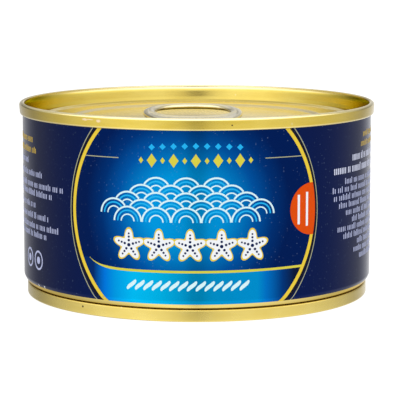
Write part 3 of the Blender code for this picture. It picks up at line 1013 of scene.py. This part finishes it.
def tab_surface(turns=240, steps=36):
    """A closed section carried round the tab: at a distance e from the nearest edge, the top is a round
    shoulder, T/2 + T/2 sqrt(1 - (1 - e/R)^2), that sinks smoothly to the web where e passes R, and the
    underside is the same shoulder upside down."""
    turn = np.linspace(0, 2 * np.pi, turns, endpoint=False)
    inner, outer = tab_hole(turn), tab_outline(turn)
    across = outer - inner
    width = np.linalg.norm(across, axis=1)[:, None]
    direction = across / width
    share = (1 - np.cos(np.linspace(0, np.pi, steps)))[None] / 2
    distance = share * width
    near = np.minimum(distance, width - distance)
    curl = 1 - np.clip(near / np.minimum(CURL_RADIUS, width / 2), 0, 1)
    shoulder = np.sqrt(np.clip(1 - curl ** 2, 0, 1))
    sunk = smooth((near - CURL_RADIUS) / 0.9)
    upper = TAB_HEIGHT / 2 * (1 + shoulder) + (WEB_HIGH - TAB_HEIGHT) * sunk
    lower = TAB_HEIGHT / 2 * (1 - shoulder) + WEB_LOW * sunk
    distance = np.concatenate([distance, distance[:, -2:0:-1]], 1)
    height = np.concatenate([upper, lower[:, -2:0:-1]], 1)
    place = inner[:, None] + direction[:, None] * distance[..., None]
    z = tab_bottom + height + ring_raise(place[..., 1])
    points = np.concatenate([place, z[..., None]], -1)
    return points, grid_faces(turns, points.shape[1], wrap_rows=True, wrap_columns=True)


tab_points, tab_faces = tab_surface()
sine, cosine = math.sin(TAB_SWIVEL), math.cos(TAB_SWIVEL)
swivel = np.array([[cosine, -sine, 0], [sine, cosine, 0], [0, 0, 1]])
rivet_place = np.array([0, RIVET_Y, 0])
tab_points = (tab_points - rivet_place) @ swivel.T + rivet_place
tab = mesh_object("pull_ring", tab_points.reshape(-1, 3), tab_faces, pale_lacquer)
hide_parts("ring_pull")

# %% [markdown]
# The rivet is pressed up out of the lid's own metal and flattened over the tab's web, so its head is a low
# dish. It is a turned profile like the two ends, only away from the can's axis.

# %% The rivet
rivet_profile = joined(
    (0.0, inner_panel - 0.2),
    (4.2, inner_panel - 0.2),
    (4.0, inner_panel + 0.05),
    (2.6, inner_panel + 0.3),
    (2.1, tab_bottom + 0.2),
    (2.1, tab_bottom + 0.85),
    arc(2.8, tab_bottom + 1.15, 0.28, -90, 90, 8),
    (1.6, tab_bottom + 1.36),
    (1.2, tab_bottom + 1.2),
    (0.0, tab_bottom + 1.17),
)
rivet = turned("rivet_head", rivet_profile, gold_lacquer, turns=64, centre=(0.0, RIVET_Y))

# %% [markdown]
# The can stands on a floor as white as the photograph's, and nothing lights it but a white surround.
# Metal shows what it reflects, so the surround's brightness changes with direction: it is brighter above
# and before the can, dimmer behind it, and has a narrow dim stripe where the photographer stood, which
# gives the streak down the middle of the seams, the label and the lid's far wall. The camera stands half
# a metre away with a long lens and looks down eight degrees.

# %% Floor, surround and camera
def floor_sheet(half=6.0):
    """A large level floor, which fills the photograph's view to its top edge."""
    mesh = bpy.data.meshes.new("floor")
    corners = [(-half, -half, 0), (half, -half, 0), (half, half, 0), (-half, half, 0)]
    mesh.from_pydata(corners, [], [(0, 1, 2, 3)])
    paper, tree, shader = new_finish("paper")
    fill(shader, {"Base Color": (0.05, 0.05, 0.05, 1.0), "Roughness": 0.6,
                  "Emission Color": (*WHITE, 1.0), "Emission Strength": 0.98})
    mesh.materials.append(paper)
    made = bpy.data.objects.new("floor", mesh)
    bpy.context.scene.collection.objects.link(made)
    return made


floor = floor_sheet()
floor.visible_glossy = False
floor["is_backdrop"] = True

world = bpy.data.worlds.new("white_surround")
world.use_nodes = True
sky = world.node_tree
x, y, z = node(sky, "SeparateXYZ", {0: node(sky, "TexCoord").outputs["Generated"]}).outputs
turn = maths(sky, "ARCTAN2", x, times(sky, y, -1.0))
share = plus(sky, maths(sky, "DIVIDE", turn, 2 * math.pi), 0.5)
BRIGHTEST = 1.3
around = [(-180, 0.77), (-155, 0.52), (-130, 0.36), (-104, 0.68), (-72, 1.03), (-45, 1.26), (-29, 1.2),
          (-11, 1.0), (11, 1.0), (29, 1.1), (43, 1.1), (72, 1.02), (108, 0.78), (135, 0.5), (155, 0.8),
          (180, 1.05)]
grey = ramp(sky, share, [(0.5 + degrees / 360, (level / BRIGHTEST,) * 3) for degrees, level in around])
horizon = times(sky, node(sky, "RGBToBW", {0: grey}).outputs[0], BRIGHTEST)
sideways = maths(sky, "ABSOLUTE", turn)


def swept(value, start, end, first, last):
    """Like eased, for an angle on the surround, with start and end in degrees."""
    return eased(sky, value, math.radians(start), math.radians(end), first, last)


below = times(sky, swept(sideways, 3.5, 8, 0.43, 0.0), eased(sky, z, 0.0, -0.06, 0.0, 1.0))
above = times(sky, swept(sideways, 4.5, 9.5, 0.72, 0.0), eased(sky, z, -0.06, 0.0, 0.0, 1.0))
stripe = plus(sky, below, times(sky, above, eased(sky, z, 0.19, 0.27, 1.0, 0.0)))
low = times(sky, horizon, minus(sky, 1.0, stripe))
right_flank = times(sky, swept(turn, 10, 16, 0.0, 0.1), swept(turn, 28, 42, 1.0, 0.0))
left_flank = times(sky, swept(turn, -70, -50, 0.0, 0.22), swept(turn, -16, -10, 1.0, 0.0))
rear = plus(sky, eased(sky, turn, 2.0, 2.6, 0.0, -0.42), eased(sky, turn, -2.6, -2.0, -0.36, 0.0))
flanks = times(sky, plus(sky, right_flank, left_flank), eased(sky, z, -0.04, 0.06, 0.0, 1.0))
rear = times(sky, rear, eased(sky, z, 0.04, 0.14, 0.0, 1.0))
low = plus(sky, low, plus(sky, flanks, rear), eased(sky, z, -0.2, -0.45, 0.0, 0.25))
softbox = maths(sky, "MAXIMUM", eased(sky, times(sky, y, -1.0), -0.45, -0.1, 0.65, 1.6),
                swept(sideways, 148, 165, 0.65, 0.88))
height = eased(sky, z, 0.2, 0.42, 0.0, 1.0)
level = plus(sky, times(sky, low, minus(sky, 1.0, height)), times(sky, softbox, height))
fill(sky.nodes["Background"], {"Color": (*WHITE, 1.0), "Strength": level})
bpy.context.scene.world = world
bpy.context.scene.view_settings.view_transform = "Standard"

camera = bpy.data.objects.new("camera", bpy.data.cameras.new("camera"))
bpy.context.scene.collection.objects.link(camera)
camera.data.sensor_width = 36.0
camera.data.lens = 185.0
camera.location = (0.0, -0.49758, 0.0940)
camera.rotation_euler = (math.radians(90 - 8.233), 0.0, math.radians(-0.09))
camera.data.clip_start = 0.01
bpy.context.scene.camera = camera

# %% [markdown]
# Last, the dressed can's box is worked out.

# %% Sizes
low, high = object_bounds()
